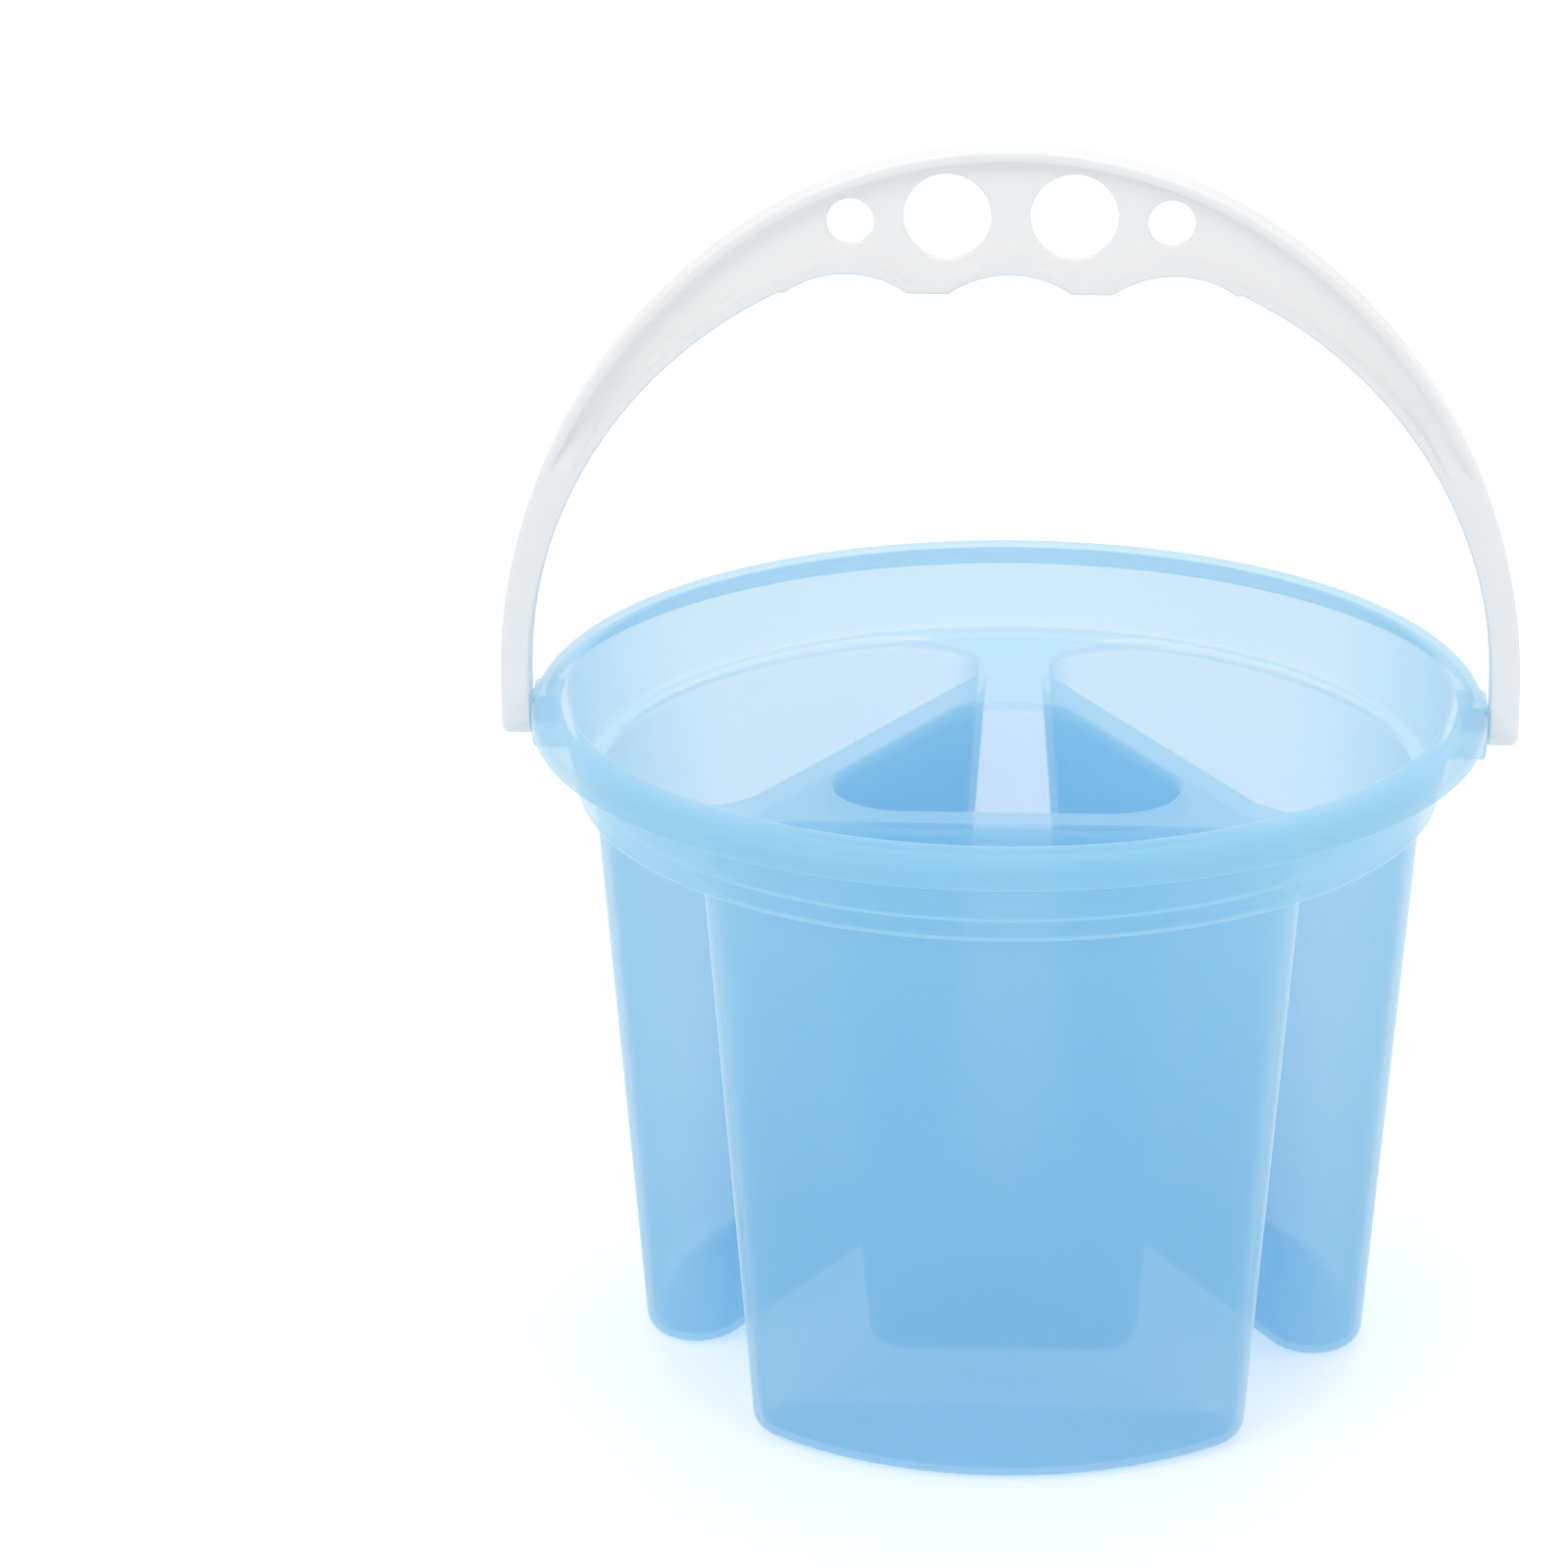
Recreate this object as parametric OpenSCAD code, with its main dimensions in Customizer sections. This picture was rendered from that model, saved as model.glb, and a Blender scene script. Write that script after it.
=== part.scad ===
// Four-well brush washer with a swinging carrying handle.
// Z is up, the wells stand on z = 0 and the handle turns about an axis along X.

/* [Rim and collar] */
// Overall height from the table to the top of the rim
washer_h = 125; // [110:1:140]
// Outer radius of the rolled rim
rim_r = 85; // [80:0.5:90]
// Radius of the rim's inner edge
rim_inner_r = 78.3; // [75:0.1:79]
// Height of the rolled rim, from its top to the lower edge of its skirt
rim_h = 5.8; // [5:0.1:8]
// Outer radius of the collar where it stands on the deck
collar_foot_r = 77; // [76.5:0.1:79]
// Depth of the deck's top below the top of the rim
deck_drop = 15.5; // [14:0.1:22]
// Thickness of the deck
deck_t = 2.8; // [1.4:0.1:3]

/* [Wells] */
// Thickness of the moulded walls
wall = 1.4; // [1.2:0.1:1.8]
// Outer radius of the outer wells just under the deck
well_r = 74; // [72:0.1:74.5]
// Distance from the middle to an outer well's flat side, just under the deck
well_chord = 28.6; // [28:0.1:31]
// Corner radius of an outer well just under the deck
well_corner = 16.9; // [15:0.1:18]
// Distance from the middle to the centre well's flat sides, just under the deck
centre_flat = 24.7; // [23:0.1:26]
// Corner radius of the centre well just under the deck
centre_corner = 14.4; // [14:0.1:16.5]
// How far every wall leans in between the deck and the table, which lets washers nest
taper = 7.6; // [6:0.1:8.5]
// Radius of the rounded edge round each well's bottom
foot_round = 3.6; // [3:0.1:4.5]
// Radius of the rounded edge where a well opens in the deck
mouth_round = 0.9; // [0.5:0.1:1]

/* [Handle] */
// Half the width of the handle at its ends
handle_half_w = 90.6; // [90:0.1:94]
// Height of the handle's crest above the top of the rim
crest_h = 98; // [90:0.5:110]
// Radius of the handle's outer arc over the crest
crest_r = 82; // [80:0.5:84]
// Width of the strap at its ends, measured along X
strap_w = 5.2; // [5:0.1:5.4]
// Thickness of the handle's web
web_t = 2.2; // [1.8:0.1:3]
// Width of the flange round the handle's edges, measured along Y
flange_w = 7; // [6:0.1:8]
// Thickness of the flange
flange_t = 1.7; // [1.4:0.1:2]
// Height above the rim where the strap starts to thin down to the web
web_from_h = 40; // [20:1:60]
// Radius of the finger scallops in the grip
scallop_r = 18.4; // [17:0.1:21]
// Distance between neighbouring finger scallops
scallop_pitch = 28.5; // [27:0.5:30]
// Radius of the two large holes that hold brushes
large_hole_r = 7.6; // [7:0.1:8]
// Radius of the two small holes that hold brushes
small_hole_r = 4.1; // [3.5:0.1:4.5]

/* [Pivots] */
// Depth of the pivot axis below the top of the rim
pivot_drop = 6; // [6:0.1:6.5]
// Radius of the handle's pegs
peg_r = 2.2; // [2:0.05:2.4]
// Play between a peg and its socket, on the radius
peg_play = 0.05; // [0.02:0.01:0.09]
// Length of a peg
peg_len = 4.2; // [3.6:0.1:4.4]

/* [Hidden] */
$fn = 96;

washer_blue = [0.60, 0.81, 0.94];
handle_white = [0.94, 0.94, 0.94];

deck_top = washer_h - deck_drop;
deck_bottom = deck_top - deck_t;
pivot_z = washer_h - pivot_drop;
socket_depth = peg_len + 0.3;
wall_lean = taper / deck_bottom;

corner_steps = 12;
arc_steps = 18;
round_steps = 5;
arch_steps = 28;
past = 1;

// The wells are outlines pushed out by a radius r round a fixed core, so that
// a wall that leans in is the same core with a smaller r lower down.
well_core_r = well_r - well_corner;
well_core_y = well_chord + well_corner;
well_core_x = sqrt(well_core_r * well_core_r - well_core_y * well_core_y);
well_ray = atan2(well_core_y, well_core_x);
centre_core_r = 2 * (centre_flat - centre_corner);

function arc(c, r, from, to, steps) =
    [for (i = [0:steps]) let (a = from + (to - from) * i / steps) c + r * [cos(a), sin(a)]];

function outer_well_outline(r) = concat(
    arc([well_core_x, -well_core_y], r, -well_ray, 90, corner_steps),
    arc([-well_core_x, -well_core_y], r, 90, 180 + well_ray, corner_steps),
    [for (i = [1:arc_steps - 1])
        let (a = 180 + well_ray + (180 - 2 * well_ray) * i / arc_steps)
        (well_core_r + r) * [cos(a), sin(a)]]
);

function centre_well_outline(r) = [
    for (k = [0:2], p = arc(
        centre_core_r * [cos(90 + 120 * k), sin(90 + 120 * k)],
        r, 30 + 120 * k, 150 + 120 * k, corner_steps
    )) p
];

function outline(is_centre, r) = is_centre ? centre_well_outline(r) : outer_well_outline(r);

// A closed solid from rings of equal length that lie one after another,
// capped at the first ring and at the last.
module skin(rings) {
    n = len(rings[0]);
    m = len(rings);
    polyhedron(
        points = [for (ring = rings, p = ring) p],
        faces = concat(
            [[for (i = [0:n - 1]) i]],
            [[for (i = [n - 1:-1:0]) (m - 1) * n + i]],
            [for (k = [0:m - 2], i = [0:n - 1])
                [k * n + i, (k + 1) * n + i, (k + 1) * n + (i + 1) % n, k * n + (i + 1) % n]]
        ),
        convexity = 6
    );
}

// Each entry of a wall profile is [r, z].
module sweep_wall(is_centre, profile) {
    skin([for (q = profile) [for (p = outline(is_centre, q[0])) [p[0], p[1], q[1]]]]);
}

function round_edge(r, z, fillet, from, to) =
    [for (q = arc([r - fillet, z + fillet], fillet, from, to, round_steps)) q];

// The profile runs up the outside of the wall, over its top and down the inside.
function cup_profile(top_r) =
    let (
        foot_r = top_r - taper,
        inner_foot_r = foot_r - wall + wall * wall_lean,
        inner_round = foot_round - wall
    )
    concat(
        round_edge(foot_r, 0, foot_round, -90, 0),
        [[top_r, deck_bottom], [top_r - wall, deck_bottom]],
        round_edge(inner_foot_r, wall, inner_round, 0, -90)
    );

module well(is_centre) {
    color(washer_blue) sweep_wall(is_centre, cup_profile(is_centre ? centre_corner : well_corner));
}

// A well's mouth through the deck, opening out at the top.
module mouth(is_centre) {
    r = (is_centre ? centre_corner : well_corner) - wall;
    sweep_wall(is_centre, concat(
        [[r, deck_bottom - past], [r, deck_top - mouth_round]],
        [for (i = [1:round_steps])
            let (a = 90 * i / round_steps)
            [r + mouth_round * (1 - cos(a)), deck_top - mouth_round * (1 - sin(a))]],
        [[r + mouth_round, deck_top + past]]
    ));
}

module front_well() {
    well(false);
}

module left_well() {
    rotate([0, 0, -120]) well(false);
}

module right_well() {
    rotate([0, 0, 120]) well(false);
}

module centre_well() {
    well(true);
}

module deck() {
    edge_round = 1.1;
    color(washer_blue) difference() {
        rotate_extrude() polygon(concat(
            [[0, deck_top], [0, deck_bottom]],
            arc([collar_foot_r - edge_round, deck_bottom + edge_round], edge_round, -90, 0, round_steps),
            [[collar_foot_r, deck_top]]
        ));
        for (k = [0:2]) rotate([0, 0, 120 * k]) mouth(false);
        mouth(true);
    }
}

// The rim is a hollow roll: it comes up from the collar, over the top and
// down to a skirt.
skirt_z = washer_h - rim_h;
shoulder_h = 4.1;
lip_round = 1.1;
skirt_round = 0.2;
foot_fillet = 1.4;
crown_r = rim_inner_r + lip_round;
collar_neck_r = rim_inner_r + wall;
collar_lean = atan2(rim_inner_r + wall - collar_foot_r, deck_drop);

// The rim's rounded shoulder, from its outer face up to its highest line.
function shoulder(top) = [
    for (i = [0:12])
        let (a = 90 * i / 12, height = top - washer_h + shoulder_h)
        [crown_r + (rim_r - crown_r) * cos(a), top - height + height * sin(a)]
];

// The roof of the groove under the shoulder, from the collar out to the skirt.
function groove_roof() = [
    for (i = [8:-1:0])
        let (a = 90 * i / 8)
        [collar_neck_r + (rim_r - wall - collar_neck_r) * cos(a),
         washer_h - shoulder_h + (shoulder_h - wall) * sin(a)]
];

module rim_section() {
    inner_foot_r = collar_foot_r - wall;
    polygon(concat(
        [[collar_foot_r, deck_top], [collar_neck_r, washer_h - shoulder_h]],
        groove_roof(),
        [[rim_r - wall, skirt_z + skirt_round], [rim_r - wall + skirt_round, skirt_z]],
        [[rim_r - skirt_round, skirt_z], [rim_r, skirt_z + skirt_round]],
        shoulder(washer_h),
        arc([crown_r, washer_h - lip_round], lip_round, 100, 180 - collar_lean, 4),
        arc([inner_foot_r - foot_fillet, deck_top + foot_fillet], foot_fillet, -collar_lean, -90, 4)
    ));
}

// A lug fills the groove behind the rim's outer face and reaches down below
// the skirt, back to the collar's wall.
lug_half_w = 5.5;
lug_bottom = pivot_z - 7;
lug_sink = 0.5;

function collar_middle_r(z) =
    collar_foot_r - wall / 2
    + (collar_neck_r - collar_foot_r) * (z - deck_top) / (washer_h - shoulder_h - deck_top);

module lug_band_section() {
    polygon(concat(
        [[collar_middle_r(lug_bottom), lug_bottom], [rim_r, lug_bottom]],
        shoulder(washer_h - lug_sink),
        [[rim_inner_r + lug_sink, washer_h - wall]]
    ));
}

module lug_prism() {
    lug_from = collar_foot_r - past;
    lug_len = rim_r + past - lug_from;
    round_z = lug_bottom + lug_half_w;
    translate([lug_from, -lug_half_w, round_z])
        cube([lug_len, 2 * lug_half_w, washer_h - round_z]);
    translate([lug_from, 0, round_z]) rotate([0, 90, 0])
        cylinder(r = lug_half_w, h = lug_len);
}

module socket() {
    translate([rim_r - socket_depth, 0, pivot_z]) rotate([0, 90, 0])
        cylinder(r = peg_r + peg_play, h = socket_depth + past);
}

module rim_collar() {
    color(washer_blue) difference() {
        union() {
            rotate_extrude() rim_section();
            for (side = [0, 1]) mirror([side, 0, 0]) intersection() {
                rotate_extrude() lug_band_section();
                lug_prism();
            }
        }
        for (side = [0, 1]) mirror([side, 0, 0]) socket();
    }
}

// Handle outlines are drawn in a plane whose x is X and whose y is the height
// above the top of the rim. Its outer edge is two side arcs that run smoothly
// into the crest arc.
arch_rise = crest_h - crest_r;
arch_spare = handle_half_w - crest_r;
arch_shift = (arch_rise * arch_rise - arch_spare * arch_spare) / (2 * arch_spare);
arch_join = atan2(arch_rise, arch_shift);

end_drop = 10.4;
end_round = 3.4;
end_corner = 1.2;
grip_flat_h = 72.6;
scallop_top_h = 76;
grip_arc_shift = 4.4;
grip_arc_r = handle_half_w - strap_w - grip_arc_shift;
large_hole_at = [11, 85.8];
small_hole_at = [27.8, 84.8];

function arch_half(inset) = concat(
    arc([-arch_shift, 0], handle_half_w + arch_shift - inset, 0, arch_join, arch_steps),
    [for (i = [1:arch_steps])
        let (a = arch_join + (90 - arch_join) * i / arch_steps)
        [0, arch_rise] + (crest_r - inset) * [cos(a), sin(a)]]
);

module arch_outline(inset) {
    half = arch_half(inset);
    corner = arc([handle_half_w - inset - end_corner, end_corner - end_drop], end_corner, -90, 0, 4);
    right = concat(corner, half);
    polygon(concat(right, [for (i = [len(right) - 2:-1:0]) [-right[i][0], right[i][1]]]));
}

// The opening under the grip. Grow pushes its edge outwards.
module grip_void(grow) {
    half_w = handle_half_w - strap_w + grow;
    arc_r = grip_arc_r + grow;
    flat_top = grip_flat_h + grow;
    side = arc([grip_arc_shift, 0], arc_r, 0, asin(flat_top / arc_r), arch_steps);
    polygon(concat(
        [[half_w, -end_drop - past]], side,
        [for (i = [arch_steps:-1:0]) [-side[i][0], side[i][1]]],
        [[-half_w, -end_drop - past]]
    ));
    for (k = [-1:1]) translate([k * scallop_pitch, scallop_top_h - scallop_r])
        circle(r = scallop_r + grow);
}

module handle_outline() {
    difference() {
        arch_outline(0);
        grip_void(0);
    }
}

// What is thinned down to the web on both faces.
module web_outline() {
    difference() {
        arch_outline(flange_t);
        grip_void(flange_t);
        translate([-handle_half_w, -end_drop - past])
            square([2 * handle_half_w, end_drop + past + web_from_h]);
    }
}

module stand_up(height) {
    translate([0, height / 2, washer_h]) rotate([90, 0, 0]) linear_extrude(height) children();
}

module brush_hole(at, r) {
    translate([at[0], flange_w / 2 + past, washer_h + at[1]]) rotate([90, 0, 0])
        cylinder(r = r, h = flange_w + 2 * past);
}

// The strap ends are rounded off below the pivots, seen along X.
module end_trim() {
    half_t = flange_w / 2;
    for (side = [0, 1]) mirror([side, 0, 0])
        translate([handle_half_w - strap_w - past, 0, washer_h - end_drop]) rotate([90, 0, 90])
            linear_extrude(strap_w + 2 * past) polygon(concat(
                [[half_t + past, end_round], [half_t + past, -past]],
                [[-half_t - past, -past], [-half_t - past, end_round]],
                [for (i = [0:8])
                    let (a = 180 + 180 * i / 8)
                    [half_t * cos(a), end_round * (1 + sin(a))]]
            ));
}

module handle() {
    color(handle_white) difference() {
        stand_up(flange_w) handle_outline();
        for (side = [-1, 1]) translate([0, side * (web_t + flange_w) / 2, 0])
            stand_up(flange_w) web_outline();
        for (side = [0, 1]) mirror([side, 0, 0]) {
            brush_hole(large_hole_at, large_hole_r);
            brush_hole(small_hole_at, small_hole_r);
        }
        end_trim();
    }
}

// A peg stands on the inside of a strap end and turns in the rim's socket.
module peg() {
    peg_round = 0.5;
    color(handle_white) translate([handle_half_w - strap_w, 0, pivot_z]) rotate([0, -90, 0])
        rotate_extrude() polygon(concat(
            [[0, 0], [peg_r, 0]],
            arc([peg_r - peg_round, peg_len - peg_round], peg_round, 0, 90, 4),
            [[0, peg_len]]
        ));
}

module left_peg() {
    mirror([1, 0, 0]) peg();
}

module right_peg() {
    peg();
}

rim_collar();
deck();
front_well();
left_well();
right_well();
centre_well();
handle();
left_peg();
right_peg();
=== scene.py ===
import math

import bmesh
import bpy
from mathutils import Matrix, Vector
from mathutils.geometry import delaunay_2d_cdt


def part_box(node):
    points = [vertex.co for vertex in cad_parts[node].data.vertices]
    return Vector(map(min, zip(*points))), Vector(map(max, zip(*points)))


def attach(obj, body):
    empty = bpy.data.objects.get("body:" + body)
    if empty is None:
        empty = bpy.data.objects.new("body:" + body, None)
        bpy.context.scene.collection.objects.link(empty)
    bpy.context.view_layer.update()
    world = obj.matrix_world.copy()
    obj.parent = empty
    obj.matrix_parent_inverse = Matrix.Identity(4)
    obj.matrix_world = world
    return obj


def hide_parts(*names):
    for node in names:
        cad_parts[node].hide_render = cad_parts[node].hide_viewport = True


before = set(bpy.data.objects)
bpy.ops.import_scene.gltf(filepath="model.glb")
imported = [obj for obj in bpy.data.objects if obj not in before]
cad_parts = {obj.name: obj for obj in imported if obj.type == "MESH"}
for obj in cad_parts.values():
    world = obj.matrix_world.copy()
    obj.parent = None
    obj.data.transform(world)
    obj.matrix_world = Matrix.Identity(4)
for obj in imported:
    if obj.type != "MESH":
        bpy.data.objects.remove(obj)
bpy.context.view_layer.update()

# Sizes, in metres. Some are read from the frame, and the others repeat the CAD model's values.
rim_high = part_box("rim_collar")[1]
deck_low, deck_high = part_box("deck")
front_low, front_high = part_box("front_well")
centre_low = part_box("centre_well")[0]
handle_low, handle_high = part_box("handle")
peg_low, peg_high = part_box("right_peg")

WASHER_H = rim_high.z
RIM_R = rim_high.y
RIM_INNER_R = 0.0783
RIM_H = 0.0058
SKIRT_Z = WASHER_H - RIM_H
SHOULDER_H = 0.0041
LIP_ROUND = 0.0011
FOOT_FILLET = 0.0014
WALL = 0.0014
DECK_TOP = deck_high.z
DECK_BOTTOM = deck_low.z
DECK_EDGE_ROUND = 0.0011
COLLAR_FOOT_R = deck_high.y

WELL_R = -front_low.y
WELL_CHORD = -front_high.y
WELL_CORNER = 0.0169
CENTRE_FLAT = -centre_low.y
CENTRE_CORNER = 0.0144
TAPER = 0.0076
FOOT_ROUND = 0.0036

PIVOT_Z = (peg_low.z + peg_high.z) / 2
PEG_PLAY = 0.00005
SOCKET_R = (peg_high.z - peg_low.z) / 2 + PEG_PLAY
SOCKET_DEPTH = 0.0045
LUG_HALF_W = 0.0055
LUG_DROP = 0.007

HANDLE_HALF_W = handle_high.x
CREST_H = handle_high.z - WASHER_H
CREST_R = 0.082
STRAP_W = 0.0052
FLANGE_HALF_W = handle_high.y
FLANGE_T = 0.0017
WEB_HALF_T = 0.0011
END_DROP = WASHER_H - handle_low.z
END_ROUND = 0.0034
END_CORNER = 0.0012
WEB_FROM_H = 0.040
GRIP_ARC_SHIFT = 0.0044
GRIP_FLAT_H = 0.0726
SCALLOP_TOP_H = 0.076
SCALLOP_R = 0.0184
SCALLOP_PITCH = 0.0285
# Each hole on the right, as [x, height above the rim, radius].
HOLES = [(0.011, 0.0858, 0.0076), (0.0278, 0.0848, 0.0041)]

# Small forms that the scene alone has, or whose size differs here from the CAD model's.
MOUTH_ROUND = 0.0008
ROOT_ROUND = 0.0007
SKIRT_ROUND = 0.0004
CROWN_W = WALL * 0.8
NECK_DROP = 0.0006
COLLAR_STEP = 0.00012
LUG_TOP_DROP = 0.0022
EDGE_ROUND = 0.0005
FIRST_BEVEL = 0.3 * EDGE_ROUND
HOLE_ROUND = 0.0004
WEB_COVE = 0.0013
# How much higher the pocket ends on a leg for each unit of its depth.
END_RAMP = 4

# Where the rings of a well's wall lie between its top and its foot, as shares of the way down.
WALL_LEVELS = (0.1, 0.25, 0.5, 0.75, 0.9)
CIRCLE_STEPS = 240
ARCH_STEPS = 30
HOLE_STEPS = 64
SOCKET_STEPS = 48
SOCKET_PAST = 0.002
SAME_POINT = 1e-9
SHARP_ANGLE = 40

# The camera, as fitted to the photograph: distance from the middle of the rim's top,
# elevation, turn about Z, roll, focal length and where that middle lands in the picture.
CAMERA_DISTANCE = 0.991
CAMERA_ELEVATION = math.radians(19.9)
CAMERA_AZIMUTH = math.radians(1.2)
CAMERA_ROLL = math.radians(0.35)
PICTURE_SIZE = 1600
FOCAL_PIXELS = 5665
RIM_MIDDLE_PIXEL = (1028.5, 697)
SENSOR_MM = 36
NEAREST = 0.05
FARTHEST = 50

# Each lamp, as name, place, size and watts. All of them look at one place.
LAMP_TARGET = (0, 0, 0.08)
LAMPS = [
    ("key", (-0.9, -1.0, 1.3), 1.0, 6),
    ("fill", (1.2, -0.8, 0.8), 1.2, 3),
    ("top", (0.1, 0.5, 1.5), 1.2, 7),
]
WORLD_LIGHT = 0.80
FLOOR_HALF_W = 4
FLOOR_Z = -0.0002

# Light crosses many thin walls on its way through the washer.
LIGHT_BOUNCES = 16
CLEAR_BOUNCES = 48

# The look, with colours in linear light.
WHITE = (1, 1, 1, 1)
MILK_COLOUR = (0.39, 0.76, 0.95, 1)
MILK_FROM_FACING = 0.3
MILK_FACE_ON = 0.35
MILK_EDGE_ON = 0.62
GLOSS_POWER = 4
GLOSS_EDGE_ON = 0.6
GLOSS_FACE_ON = 0.03
GLOSS_ROUGHNESS = 0.5
HANDLE_COLOUR = (0.93, 0.93, 0.93, 1)
HANDLE_ROUGHNESS = 0.42
HANDLE_SUBSURFACE = 0.25
HANDLE_LIGHT_DEPTH = 0.003
GRAIN_DETAIL = 3
GRAIN_DEPTH = 0.0002
FLOOR_COLOUR = (0.9, 0.9, 0.9, 1)
FLOOR_NEAR = 0.6
FLOOR_FAR = 1.6
FLOOR_LIFT_NEAR = 0.28
FLOOR_LIFT_FAR = 0.6


# Points and outlines

def bend(centre, across, along, angles):
    """Points on a circle or an ellipse, at angles in degrees."""
    return [
        (centre[0] + across * math.cos(math.radians(a)), centre[1] + along * math.sin(math.radians(a)))
        for a in angles
    ]


def arc(centre, radius, start, end, steps):
    """Points on a circle from one angle to another, in degrees, both ends included."""
    return bend(centre, radius, radius, [start + (end - start) * i / steps for i in range(steps + 1)])


def circle(centre, radius, steps):
    """Points all round a circle."""
    return arc(centre, radius, 0, 360, steps)[:-1]


def between(top, foot, levels):
    """Points on a straight line, at shares of the way from its top to its foot."""
    return [(top[0] + (foot[0] - top[0]) * t, top[1] + (foot[1] - top[1]) * t) for t in levels]


def turned(points, degrees):
    """The same points turned about the origin."""
    c, s = math.cos(math.radians(degrees)), math.sin(math.radians(degrees))
    return [(c * x - s * y, s * x + c * y) for x, y in points]


def outer_well_outline(radius):
    """The D of the front well: a fixed core pushed out by a radius."""
    core_r = WELL_R - WELL_CORNER
    core_y = WELL_CHORD + WELL_CORNER
    core_x = math.sqrt(core_r ** 2 - core_y ** 2)
    ray = math.degrees(math.atan2(core_y, core_x))
    right = arc((core_x, -core_y), radius, -ray, 90, steps=20)
    left = arc((-core_x, -core_y), radius, 90, 180 + ray, steps=20)
    front = arc((0, 0), core_r + radius, 180 + ray, 360 - ray, steps=40)[1:-1]
    return right + left + front


def centre_well_outline(radius):
    """The rounded triangle of the centre well, with a corner towards the back."""
    core_r = 2 * (CENTRE_FLAT - CENTRE_CORNER)
    points = []
    for k in range(3):
        angle = 90 + 120 * k
        corner = bend((0, 0), core_r, core_r, [angle])[0]
        points += arc(corner, radius, angle - 60, angle + 60, steps=24)
    return points


# Mesh building

class Shell:
    """Collects rings of points and the faces between them, and makes one closed mesh."""

    def __init__(self):
        self.points = []
        self.faces = []

    def ring(self, points):
        """Keeps the points, and returns their places in the mesh."""
        first = len(self.points)
        self.points += points
        return list(range(first, len(self.points)))

    def bridge(self, a, b):
        n = len(a)
        self.faces += [(a[i], a[(i + 1) % n], b[(i + 1) % n], b[i]) for i in range(n)]

    def bridge_all(self, rings):
        for a, b in zip(rings, rings[1:]):
            self.bridge(a, b)

    def cap(self, ring):
        self.faces.append(tuple(ring))

    def flat(self, outer, holes, axes=(0, 1)):
        """A flat face between an outer ring and holes, drawn in the plane of two axes."""
        loops = [outer] + holes
        spans = spans_of(loops)
        order = [i for loop in loops for i in loop]
        flat_points = [Vector((self.points[i][axes[0]], self.points[i][axes[1]])) for i in order]
        edges = [(span[i], span[(i + 1) % len(span)]) for span in spans for i in range(len(span))]
        made = delaunay_2d_cdt(flat_points, edges, [], 0, SAME_POINT)
        triangles, sources = made[2], made[3]
        origin = [source[0] for source in sources]
        outlines = [[flat_points[k] for k in span] for span in spans]
        for triangle in triangles:
            corners = [flat_points[origin[v]] for v in triangle]
            middle = sum(corners, Vector((0, 0))) / 3
            if inside(middle, outlines[0]) and not any(inside(middle, o) for o in outlines[1:]):
                self.faces.append(tuple(order[origin[v]] for v in triangle))

    def make(self, name):
        mesh = bpy.data.meshes.new(name)
        mesh.from_pydata(self.points, [], self.faces)
        work = bmesh.new()
        work.from_mesh(mesh)
        bmesh.ops.recalc_face_normals(work, faces=work.faces)
        work.to_mesh(mesh)
        work.free()
        piece = bpy.data.objects.new(name, mesh)
        bpy.context.scene.collection.objects.link(piece)
        return piece


def spans_of(loops):
    """The places of each loop's points in one long list of them."""
    spans = []
    first = 0
    for loop in loops:
        spans.append(range(first, first + len(loop)))
        first += len(loop)
    return spans


def inside(point, outline):
    """True if the point lies inside the closed outline."""
    found = False
    n = len(outline)
    for i in range(n):
        a, b = outline[i], outline[(i + 1) % n]
        if (a.y > point.y) != (b.y > point.y):
            if point.x < a.x + (b.x - a.x) * (point.y - a.y) / (b.y - a.y):
                found = not found
    return found


def shade_smooth(piece):
    """Smooth shading that keeps flat faces flat and steep edges sharp."""
    mesh = piece.data
    mesh.polygons.foreach_set("use_smooth", [True] * len(mesh.polygons))
    work = bmesh.new()
    work.from_mesh(mesh)
    limit = math.radians(SHARP_ANGLE)
    for edge in work.edges:
        edge.smooth = not (edge.is_manifold and edge.calc_face_angle(0) > limit)
    work.to_mesh(mesh)
    work.free()
    weighted = piece.modifiers.new("flat faces", "WEIGHTED_NORMAL")
    weighted.keep_sharp = True


def combine(piece, other, operation):
    """Joins another solid to the piece or cuts it away, for good."""
    modifier = piece.modifiers.new("combine", "BOOLEAN")
    modifier.operation = operation
    modifier.solver = "EXACT"
    modifier.object = other
    bpy.context.view_layer.objects.active = piece
    bpy.ops.object.modifier_apply(modifier=modifier.name)
    bpy.data.objects.remove(other)


# The washer's moulding

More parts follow.
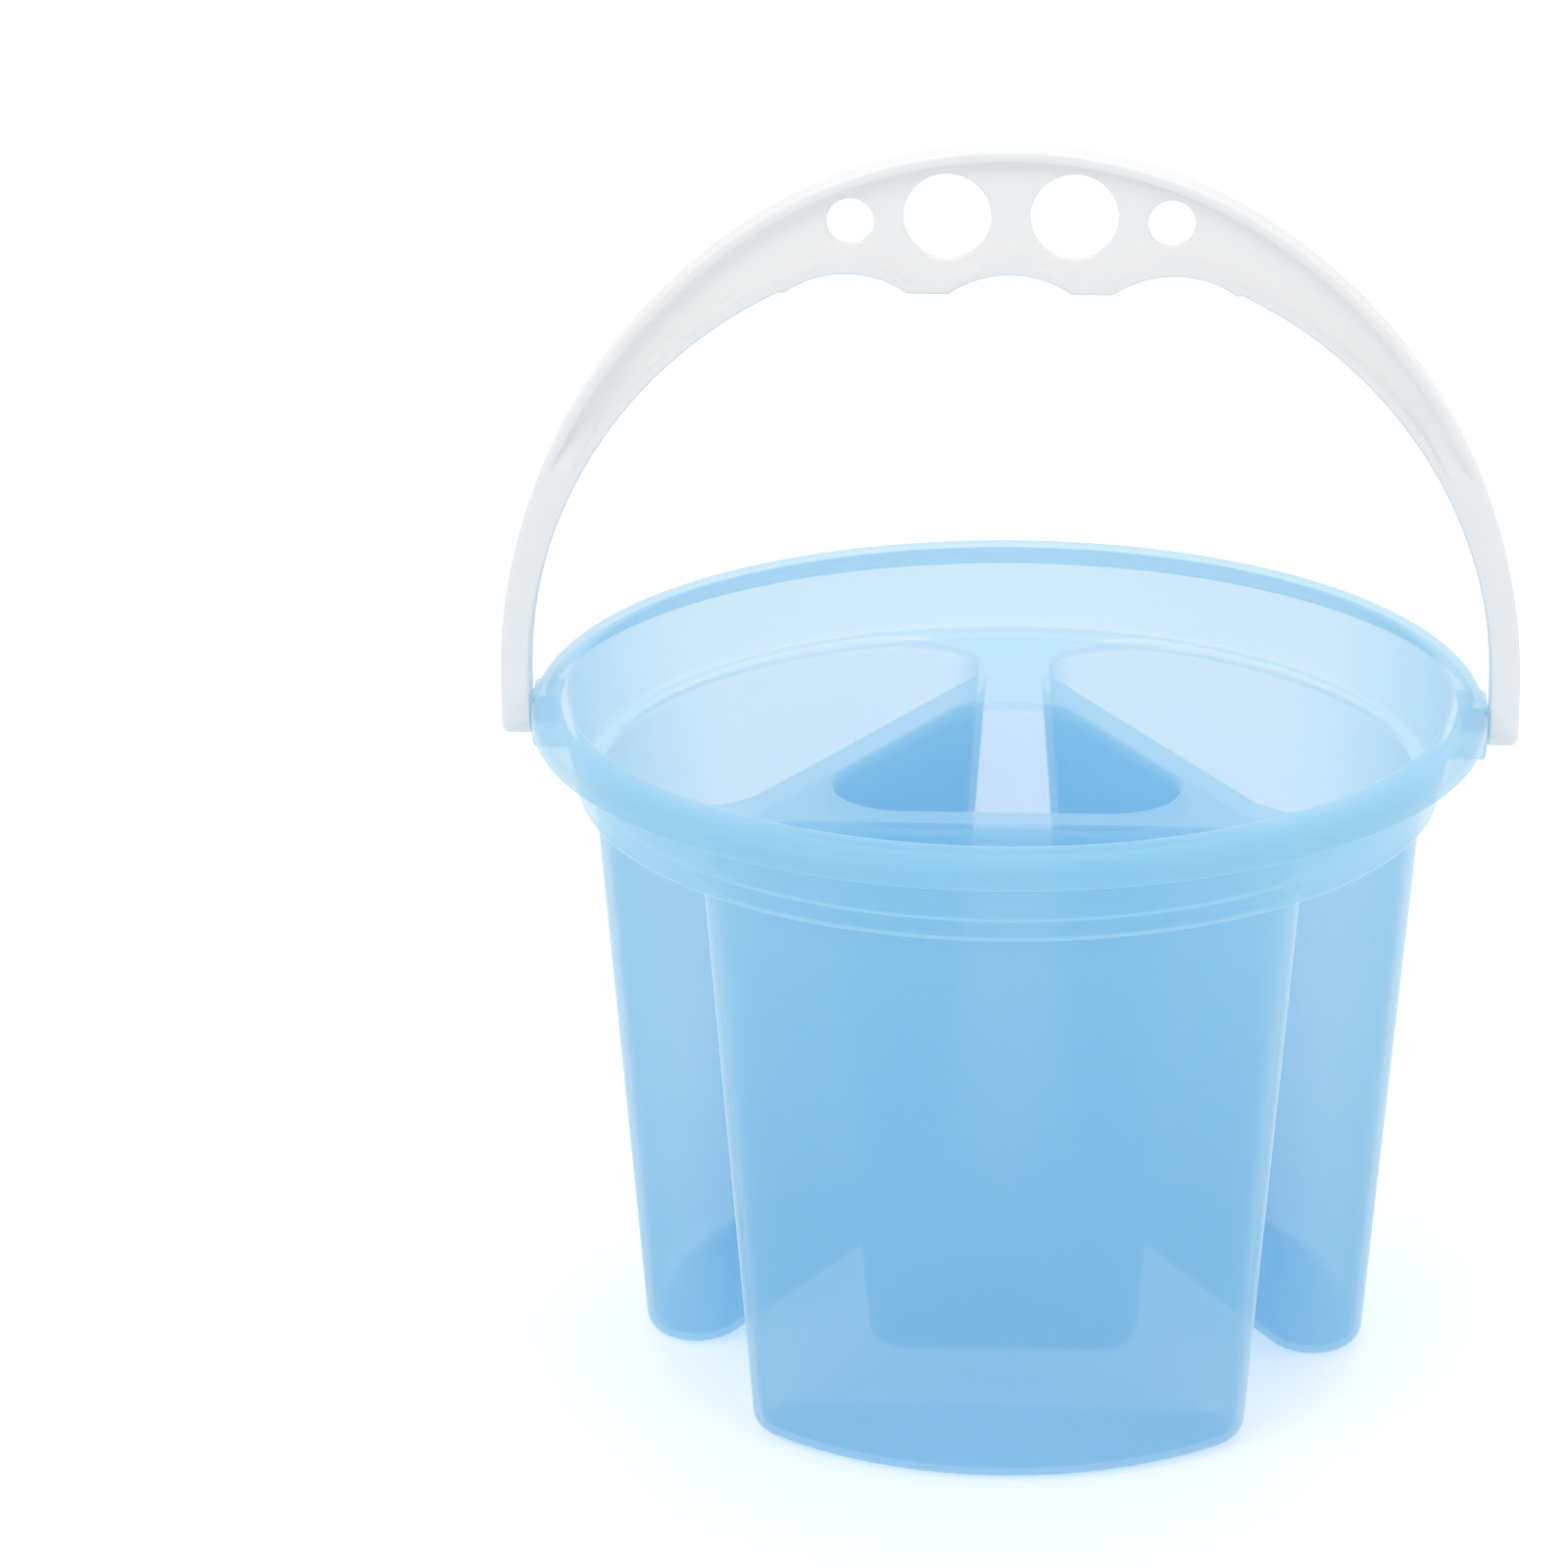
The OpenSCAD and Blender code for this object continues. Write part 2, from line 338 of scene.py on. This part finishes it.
def rim_profile():
    """The section of the rim and collar, as [radius, z].

    It runs from the deck's top up the inside, over the rim, and down to the deck's underside.
    """
    inner_foot_r = COLLAR_FOOT_R - WALL
    crown_r = RIM_INNER_R + CROWN_W
    neck_r = RIM_INNER_R + WALL
    under_top = WASHER_H - SHOULDER_H
    skirt_round_z = SKIRT_Z + SKIRT_ROUND

    inner = arc((inner_foot_r - FOOT_FILLET, DECK_TOP + FOOT_FILLET), FOOT_FILLET, -90, -8, steps=6)
    top = arc((RIM_INNER_R + LIP_ROUND, WASHER_H - LIP_ROUND), LIP_ROUND, 175, 100, steps=6)
    shoulder = bend((crown_r, under_top), RIM_R - crown_r, SHOULDER_H, range(90, -1, -6))
    skirt_outer = arc((RIM_R - SKIRT_ROUND, skirt_round_z), SKIRT_ROUND, 0, -90, steps=4)
    skirt_inner = arc((RIM_R - WALL + SKIRT_ROUND, skirt_round_z), SKIRT_ROUND, -90, -180, steps=4)
    groove = bend((neck_r, under_top), RIM_R - WALL - neck_r, SHOULDER_H - WALL, range(0, 91, 9))
    collar = [(neck_r, under_top - NECK_DROP), (COLLAR_FOOT_R + COLLAR_STEP, DECK_TOP)]
    bottom = arc((COLLAR_FOOT_R - DECK_EDGE_ROUND, DECK_BOTTOM + DECK_EDGE_ROUND),
                 DECK_EDGE_ROUND, 0, -90, steps=6)
    return inner + top + shoulder + skirt_outer + skirt_inner + groove + collar + bottom


def mouth_profile(corner):
    """From the deck's top down the inside of a well, as [outline radius, z]."""
    top_r = corner - WALL
    lean = TAPER / DECK_BOTTOM
    foot_r = top_r - TAPER + WALL * lean
    round_r = FOOT_ROUND - WALL
    edge = arc((top_r + MOUTH_ROUND, DECK_TOP - MOUTH_ROUND), MOUTH_ROUND, 90, 180, steps=8)
    wall = between((top_r, DECK_BOTTOM), (foot_r, WALL + round_r), (0,) + WALL_LEVELS)
    foot = arc((foot_r - round_r, WALL + round_r), round_r, 0, -90, steps=8)
    return edge + wall + foot


def outside_profile(corner):
    """From the deck's underside down the outside of a well, as [outline radius, z]."""
    foot_r = corner - TAPER
    root_z = DECK_BOTTOM - ROOT_ROUND
    edge = arc((corner + ROOT_ROUND, root_z), ROOT_ROUND, 90, 180, steps=5)
    wall = between((corner, root_z), (foot_r, FOOT_ROUND), WALL_LEVELS)
    foot = arc((foot_r - FOOT_ROUND, FOOT_ROUND), FOOT_ROUND, 0, -90, steps=10)
    return edge + wall + foot


def level_ring(shell, outline, z):
    """An outline laid flat at a height."""
    return shell.ring([(x, y, z) for x, y in outline])


def add_well(shell, outline, profile):
    """The wall and floor of a well, on one side. Returns its ring in the deck."""
    rings = [level_ring(shell, outline(radius), z) for radius, z in profile]
    shell.bridge_all(rings)
    shell.cap(rings[-1])
    return rings[0]


def make_washer():
    """Rim, collar, deck and the four wells as one closed skin, as they are moulded."""
    shell = Shell()
    rings = [
        level_ring(shell, circle((0, 0), radius, CIRCLE_STEPS), z)
        for radius, z in rim_profile()
    ]
    shell.bridge_all(rings)

    wells = [(lambda r, k=k: turned(outer_well_outline(r), 120 * k), WELL_CORNER) for k in range(3)]
    wells.append((centre_well_outline, CENTRE_CORNER))
    mouths = [add_well(shell, outline, mouth_profile(corner)) for outline, corner in wells]
    roots = [add_well(shell, outline, outside_profile(corner)) for outline, corner in wells]
    shell.flat(rings[0], mouths)
    shell.flat(rings[-1], roots)
    return shell.make("washer_shell")


def collar_middle(z):
    """The radius of the middle of the collar's wall at a height."""
    neck_z = WASHER_H - SHOULDER_H
    neck_r = RIM_INNER_R + WALL / 2
    foot_r = COLLAR_FOOT_R - WALL / 2
    return foot_r + (neck_r - foot_r) * (z - DECK_TOP) / (neck_z - DECK_TOP)


def make_lug(side):
    """The block that carries a socket, from inside the collar's wall to the rim's outer face."""
    shell = Shell()
    round_z = PIVOT_Z - LUG_DROP + LUG_HALF_W
    top_z = WASHER_H - LUG_TOP_DROP

    def lug_ring(half_w, x_at):
        outline = arc((0, round_z), half_w, 180, 360, steps=24) + [(half_w, top_z), (-half_w, top_z)]
        return shell.ring([(side * x_at(z), y, z) for y, z in outline])

    rings = [
        lug_ring(LUG_HALF_W, collar_middle),
        lug_ring(LUG_HALF_W, lambda z: RIM_R - EDGE_ROUND),
        lug_ring(LUG_HALF_W - FIRST_BEVEL, lambda z: RIM_R - FIRST_BEVEL),
        lug_ring(LUG_HALF_W - EDGE_ROUND, lambda z: RIM_R),
    ]
    shell.bridge_all(rings)
    shell.cap(rings[0])
    shell.cap(rings[-1])
    return shell.make("lug")


def make_socket(side):
    """The round space that a peg turns in."""
    shell = Shell()
    outline = circle((0, PIVOT_Z), SOCKET_R, SOCKET_STEPS)
    rings = [
        shell.ring([(side * x, y, z) for y, z in outline])
        for x in (RIM_R - SOCKET_DEPTH, RIM_R + SOCKET_PAST)
    ]
    shell.bridge_all(rings)
    shell.cap(rings[0])
    shell.cap(rings[-1])
    return shell.make("socket")


# The handle

def crest_join():
    """How far out the side arcs' centres lie, and the angle where they meet the crest arc."""
    rise = CREST_H - CREST_R
    spare = HANDLE_HALF_W - CREST_R
    shift = (rise ** 2 - spare ** 2) / (2 * spare)
    return shift, rise, math.degrees(math.atan2(rise, shift))


def handle_loop(inset, end_h):
    """The handle seen along Y down to a height, pushed in by an amount.

    Its points are [x, height above the rim].
    """
    shift, rise, join = crest_join()
    start_h = max(end_h, 0)
    outer_r = HANDLE_HALF_W + shift - inset
    outer_start = math.degrees(math.asin(start_h / outer_r))
    side = arc((-shift, 0), outer_r, outer_start, join, ARCH_STEPS)
    crest = arc((0, rise), CREST_R - inset, join, 90, ARCH_STEPS)[1:]

    inner_r = HANDLE_HALF_W - STRAP_W - GRIP_ARC_SHIFT + inset
    flat_h = GRIP_FLAT_H + inset
    radius = SCALLOP_R + inset
    centre_h = SCALLOP_TOP_H - SCALLOP_R
    reach = math.degrees(math.asin((flat_h - centre_h) / radius))
    inner_start = math.degrees(math.asin(start_h / inner_r))
    inner_end = math.degrees(math.asin(flat_h / inner_r))
    inner_side = arc((GRIP_ARC_SHIFT, 0), inner_r, inner_start, inner_end, ARCH_STEPS)

    outer = side + crest
    if end_h < 0:
        corner = (HANDLE_HALF_W - inset - END_CORNER, end_h + END_CORNER)
        outer = arc(corner, END_CORNER, -90, 0, steps=4) + outer
        inner_side = [(HANDLE_HALF_W - STRAP_W + inset, end_h)] + inner_side
    outer += [(-x, h) for x, h in reversed(outer[:-1])]
    inner = [(-x, h) for x, h in inner_side]
    for k in (-1, 0, 1):
        inner += arc((k * SCALLOP_PITCH, centre_h), radius, 180 - reach, reach, steps=16)
    return outer + inner + list(reversed(inner_side))


def mirrored(profile):
    """The profile's points on the other side of the handle's middle plane, in reverse order."""
    return [(a, -y) for a, y in reversed(profile)]


def edge_profile():
    """Across the handle's outer edge from one face to the other, as [inset, y]."""
    straight = FLANGE_HALF_W - EDGE_ROUND
    rounded = bend((EDGE_ROUND, straight), -EDGE_ROUND, EDGE_ROUND, (90, 70, 50, 30, 0))
    half = rounded + [(0, straight * t) for t in (0.85, 0.6, 0.3)]
    return half + [(0, 0)] + mirrored(half)


def pocket_profile():
    """From the flange's face down to the web, as [inset, y], with a small undercut and a cove."""
    undercut = bend((FLANGE_T, FLANGE_HALF_W - EDGE_ROUND), -EDGE_ROUND, EDGE_ROUND, (90, 60, 30, 0))
    cove = bend((FLANGE_T + WEB_COVE, WEB_HALF_T + WEB_COVE), -WEB_COVE, -WEB_COVE, (0, 30, 60, 90))
    return undercut + cove


def hole_profile(radius):
    """Through the web at a hole, with its edges rounded, as [radius, y]."""
    straight = WEB_HALF_T - HOLE_ROUND
    half = bend((radius + HOLE_ROUND, straight), -HOLE_ROUND, HOLE_ROUND, (90, 60, 30, 0))
    return half + mirrored(half)


def end_height(y):
    """Where the handle's rounded ends lie, as a height above the rim, at a place across it."""
    share = min(1, abs(y) / FLANGE_HALF_W)
    return -END_DROP + END_ROUND * (1 - math.sqrt(1 - share ** 2))


def pocket_height(y):
    """Where the pocket ends on the legs. It ends higher up the deeper it is, so that it ramps out."""
    return WEB_FROM_H + END_RAMP * (FLANGE_HALF_W - y)


def make_handle():
    """A flat arch with a flange round its edge, finger scallops, four holes and rounded ends."""
    shell = Shell()

    def upright_ring(outline, y):
        return shell.ring([(x, y, WASHER_H + h) for x, h in outline])

    rings = [upright_ring(handle_loop(inset, end_height(y)), y) for inset, y in edge_profile()]
    shell.bridge_all(rings)

    webs = {}
    for side, rim in ((1, rings[0]), (-1, rings[-1])):
        pocket = [
            upright_ring(handle_loop(inset, pocket_height(y)), side * y)
            for inset, y in pocket_profile()
        ]
        shell.flat(rim, [pocket[0]], axes=(0, 2))
        shell.bridge_all(pocket)
        webs[side] = pocket[-1]

    hole_rims = {1: [], -1: []}
    for mirror in (-1, 1):
        for x, h, radius in HOLES:
            hole = [
                upright_ring(circle((mirror * x, h), r, HOLE_STEPS), y)
                for r, y in hole_profile(radius)
            ]
            shell.bridge_all(hole)
            hole_rims[1].append(hole[0])
            hole_rims[-1].append(hole[-1])
    for side in (1, -1):
        shell.flat(webs[side], hole_rims[side], axes=(0, 2))
    return shell.make("carrying_handle")


# Materials

def new_material(name):
    material = bpy.data.materials.new(name)
    material.use_nodes = True
    tree = material.node_tree
    tree.nodes.clear()
    output = tree.nodes.new("ShaderNodeOutputMaterial")
    return material, tree, output


def feed(tree, value, socket):
    """Sets a socket to a number, or links an output to it."""
    if isinstance(value, (int, float)):
        socket.default_value = value
    else:
        tree.links.new(value, socket)


def moulded_bump(tree, scale, strength):
    """The fine even grain of a moulded frosted surface, as a normal."""
    place = tree.nodes.new("ShaderNodeTexCoord")
    noise = tree.nodes.new("ShaderNodeTexNoise")
    noise.inputs["Scale"].default_value = scale
    noise.inputs["Detail"].default_value = GRAIN_DETAIL
    bump = tree.nodes.new("ShaderNodeBump")
    bump.inputs["Strength"].default_value = strength
    bump.inputs["Distance"].default_value = GRAIN_DEPTH
    tree.links.new(place.outputs["Object"], noise.inputs["Vector"])
    tree.links.new(noise.outputs["Fac"], bump.inputs["Height"])
    return bump.outputs["Normal"]


def mixed(tree, factor, first, second):
    """A Mix Shader between two shader outputs. The factor is a number or an output."""
    mix = tree.nodes.new("ShaderNodeMixShader")
    feed(tree, factor, mix.inputs[0])
    tree.links.new(first, mix.inputs[1])
    tree.links.new(second, mix.inputs[2])
    return mix.outputs[0]


def frosted_blue():
    """Frosted blue polypropylene. Each face lets light straight through and adds some blue milk."""
    material, tree, output = new_material("frosted_blue_polypropylene")
    normal = moulded_bump(tree, scale=900, strength=0.08)

    facing = tree.nodes.new("ShaderNodeLayerWeight")
    facing.inputs["Blend"].default_value = 0.5
    milk = tree.nodes.new("ShaderNodeMapRange")
    milk.inputs["From Min"].default_value = MILK_FROM_FACING
    milk.inputs["From Max"].default_value = 1
    milk.inputs["To Min"].default_value = MILK_FACE_ON
    milk.inputs["To Max"].default_value = MILK_EDGE_ON
    tree.links.new(facing.outputs["Facing"], milk.inputs["Value"])

    through = tree.nodes.new("ShaderNodeBsdfTransparent")
    through.inputs["Color"].default_value = WHITE

    lit = tree.nodes.new("ShaderNodeBsdfDiffuse")
    lit.inputs["Color"].default_value = MILK_COLOUR
    tree.links.new(normal, lit.inputs["Normal"])
    glow = tree.nodes.new("ShaderNodeBsdfTranslucent")
    glow.inputs["Color"].default_value = MILK_COLOUR
    tree.links.new(normal, glow.inputs["Normal"])
    body = mixed(tree, 0.5, lit.outputs[0], glow.outputs[0])

    steep = tree.nodes.new("ShaderNodeMath")
    steep.operation = "POWER"
    steep.inputs[1].default_value = GLOSS_POWER
    tree.links.new(facing.outputs["Facing"], steep.inputs[0])
    shine = tree.nodes.new("ShaderNodeMath")
    shine.operation = "MULTIPLY_ADD"
    shine.inputs[1].default_value = GLOSS_EDGE_ON
    shine.inputs[2].default_value = GLOSS_FACE_ON
    tree.links.new(steep.outputs[0], shine.inputs[0])
    gloss = tree.nodes.new("ShaderNodeBsdfGlossy")
    gloss.inputs["Color"].default_value = WHITE
    gloss.inputs["Roughness"].default_value = GLOSS_ROUGHNESS
    tree.links.new(normal, gloss.inputs["Normal"])

    clear_and_milky = mixed(tree, milk.outputs[0], through.outputs[0], body)
    skin = mixed(tree, shine.outputs[0], clear_and_milky, gloss.outputs[0])
    tree.links.new(skin, output.inputs["Surface"])
    return material


def frosted_white():
    """Frosted white polypropylene, as good as opaque at the handle's thickness."""
    material, tree, output = new_material("frosted_white_polypropylene")
    normal = moulded_bump(tree, scale=700, strength=0.1)
    skin = tree.nodes.new("ShaderNodeBsdfPrincipled")
    skin.inputs["Base Color"].default_value = HANDLE_COLOUR
    skin.inputs["Roughness"].default_value = HANDLE_ROUGHNESS
    skin.inputs["Subsurface Weight"].default_value = HANDLE_SUBSURFACE
    skin.inputs["Subsurface Radius"].default_value = (HANDLE_LIGHT_DEPTH,) * 3
    skin.inputs["Subsurface Scale"].default_value = 1
    tree.links.new(normal, skin.inputs["Normal"])
    tree.links.new(skin.outputs[0], output.inputs["Surface"])
    return material


def seen_ray(tree, level):
    """The level for rays that come from the camera, by gloss or by glass, and 0 for the rest."""
    path = tree.nodes.new("ShaderNodeLightPath")
    kinds = [path.outputs[k] for k in ("Is Camera Ray", "Is Glossy Ray", "Is Transmission Ray")]
    total = kinds[0]
    for kind in kinds[1:]:
        add = tree.nodes.new("ShaderNodeMath")
        add.operation = "ADD"
        add.use_clamp = True
        tree.links.new(total, add.inputs[0])
        tree.links.new(kind, add.inputs[1])
        total = add.outputs[0]
    scale = tree.nodes.new("ShaderNodeMath")
    scale.operation = "MULTIPLY"
    tree.links.new(total, scale.inputs[0])
    feed(tree, level, scale.inputs[1])
    return scale.outputs[0]


def studio_floor():
    """A pale floor, lifted towards white for the camera and clear when seen from below."""
    material, tree, output = new_material("studio_floor")
    paper = tree.nodes.new("ShaderNodeBsdfDiffuse")
    paper.inputs["Color"].default_value = FLOOR_COLOUR
    lift = tree.nodes.new("ShaderNodeEmission")
    lift.inputs["Color"].default_value = WHITE
    place = tree.nodes.new("ShaderNodeNewGeometry")
    away = tree.nodes.new("ShaderNodeVectorMath")
    away.operation = "LENGTH"
    tree.links.new(place.outputs["Position"], away.inputs[0])
    level = tree.nodes.new("ShaderNodeMapRange")
    level.inputs["From Min"].default_value = FLOOR_NEAR
    level.inputs["From Max"].default_value = FLOOR_FAR
    level.inputs["To Min"].default_value = FLOOR_LIFT_NEAR
    level.inputs["To Max"].default_value = FLOOR_LIFT_FAR
    tree.links.new(away.outputs["Value"], level.inputs["Value"])
    tree.links.new(seen_ray(tree, level.outputs[0]), lift.inputs["Strength"])
    both = tree.nodes.new("ShaderNodeAddShader")
    tree.links.new(paper.outputs[0], both.inputs[0])
    tree.links.new(lift.outputs[0], both.inputs[1])
    clear = tree.nodes.new("ShaderNodeBsdfTransparent")
    surface = mixed(tree, place.outputs["Backfacing"], both.outputs[0], clear.outputs[0])
    tree.links.new(surface, output.inputs["Surface"])
    return material


# Stage

def white_world():
    """White behind everything, and a softer level for what lights the object."""
    world = bpy.data.worlds.new("studio")
    bpy.context.scene.world = world
    world.use_nodes = True
    tree = world.node_tree
    tree.nodes.clear()
    output = tree.nodes.new("ShaderNodeOutputWorld")
    shown = tree.nodes.new("ShaderNodeBackground")
    shown.inputs["Strength"].default_value = 1
    lighting = tree.nodes.new("ShaderNodeBackground")
    lighting.inputs["Strength"].default_value = WORLD_LIGHT
    backdrop = mixed(tree, seen_ray(tree, 1), lighting.outputs[0], shown.outputs[0])
    tree.links.new(backdrop, output.inputs["Surface"])


def area_light(name, place, size, power):
    light = bpy.data.lights.new(name, "AREA")
    light.shape = "SQUARE"
    light.size = size
    light.energy = power
    lamp = bpy.data.objects.new(name, light)
    lamp.location = place
    lamp.rotation_mode = "QUATERNION"
    lamp.rotation_quaternion = (Vector(LAMP_TARGET) - Vector(place)).to_track_quat("-Z", "Y")
    bpy.context.scene.collection.objects.link(lamp)


def make_camera():
    """Placed as in the photograph, and turned so that the rim's middle lands as it does there."""
    target = Vector((0, 0, WASHER_H))
    flat = math.cos(CAMERA_ELEVATION)
    back = Vector((math.sin(CAMERA_AZIMUTH) * flat, -math.cos(CAMERA_AZIMUTH) * flat,
                   math.sin(CAMERA_ELEVATION)))
    data = bpy.data.cameras.new("camera")
    data.sensor_width = SENSOR_MM
    data.lens = SENSOR_MM * FOCAL_PIXELS / PICTURE_SIZE
    data.clip_start = NEAREST
    data.clip_end = FARTHEST
    camera = bpy.data.objects.new("camera", data)
    camera.location = target + back * CAMERA_DISTANCE
    half = PICTURE_SIZE / 2
    seen_at = Vector(((RIM_MIDDLE_PIXEL[0] - half) / FOCAL_PIXELS,
                      (half - RIM_MIDDLE_PIXEL[1]) / FOCAL_PIXELS, -1))
    turn = seen_at.rotation_difference(Vector((0, 0, -1)))
    roll = Matrix.Rotation(CAMERA_ROLL, 4, "Z").to_quaternion()
    camera.rotation_mode = "QUATERNION"
    camera.rotation_quaternion = (-back).to_track_quat("-Z", "Y") @ roll @ turn
    bpy.context.scene.collection.objects.link(camera)
    bpy.context.scene.camera = camera


def make_floor():
    mesh = bpy.data.meshes.new("floor")
    w, z = FLOOR_HALF_W, FLOOR_Z
    mesh.from_pydata([(-w, -w, z), (w, -w, z), (w, w, z), (-w, w, z)], [], [(0, 1, 2, 3)])
    floor = bpy.data.objects.new("floor", mesh)
    bpy.context.scene.collection.objects.link(floor)
    floor.data.materials.append(studio_floor())


# The scene

make_camera()
make_floor()
white_world()
for lamp_name, lamp_place, lamp_size, lamp_power in LAMPS:
    area_light(lamp_name, lamp_place, lamp_size, lamp_power)

scene = bpy.context.scene
scene.view_settings.view_transform = "Standard"
scene.cycles.max_bounces = LIGHT_BOUNCES
scene.cycles.diffuse_bounces = LIGHT_BOUNCES
scene.cycles.transmission_bounces = LIGHT_BOUNCES
scene.cycles.transparent_max_bounces = CLEAR_BOUNCES

blue = frosted_blue()
white = frosted_white()

washer = make_washer()
for side in (-1, 1):
    combine(washer, make_lug(side), "UNION")
for side in (-1, 1):
    combine(washer, make_socket(side), "DIFFERENCE")
washer.data.materials.clear()
washer.data.materials.append(blue)
shade_smooth(washer)
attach(washer, "washer")
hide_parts("rim_collar", "deck", "front_well", "left_well", "right_well", "centre_well")

handle = make_handle()
handle.data.materials.append(white)
shade_smooth(handle)
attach(handle, "bail")
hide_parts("handle")

for name in ("left_peg", "right_peg"):
    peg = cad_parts[name]
    peg.data.materials.clear()
    peg.data.materials.append(white)
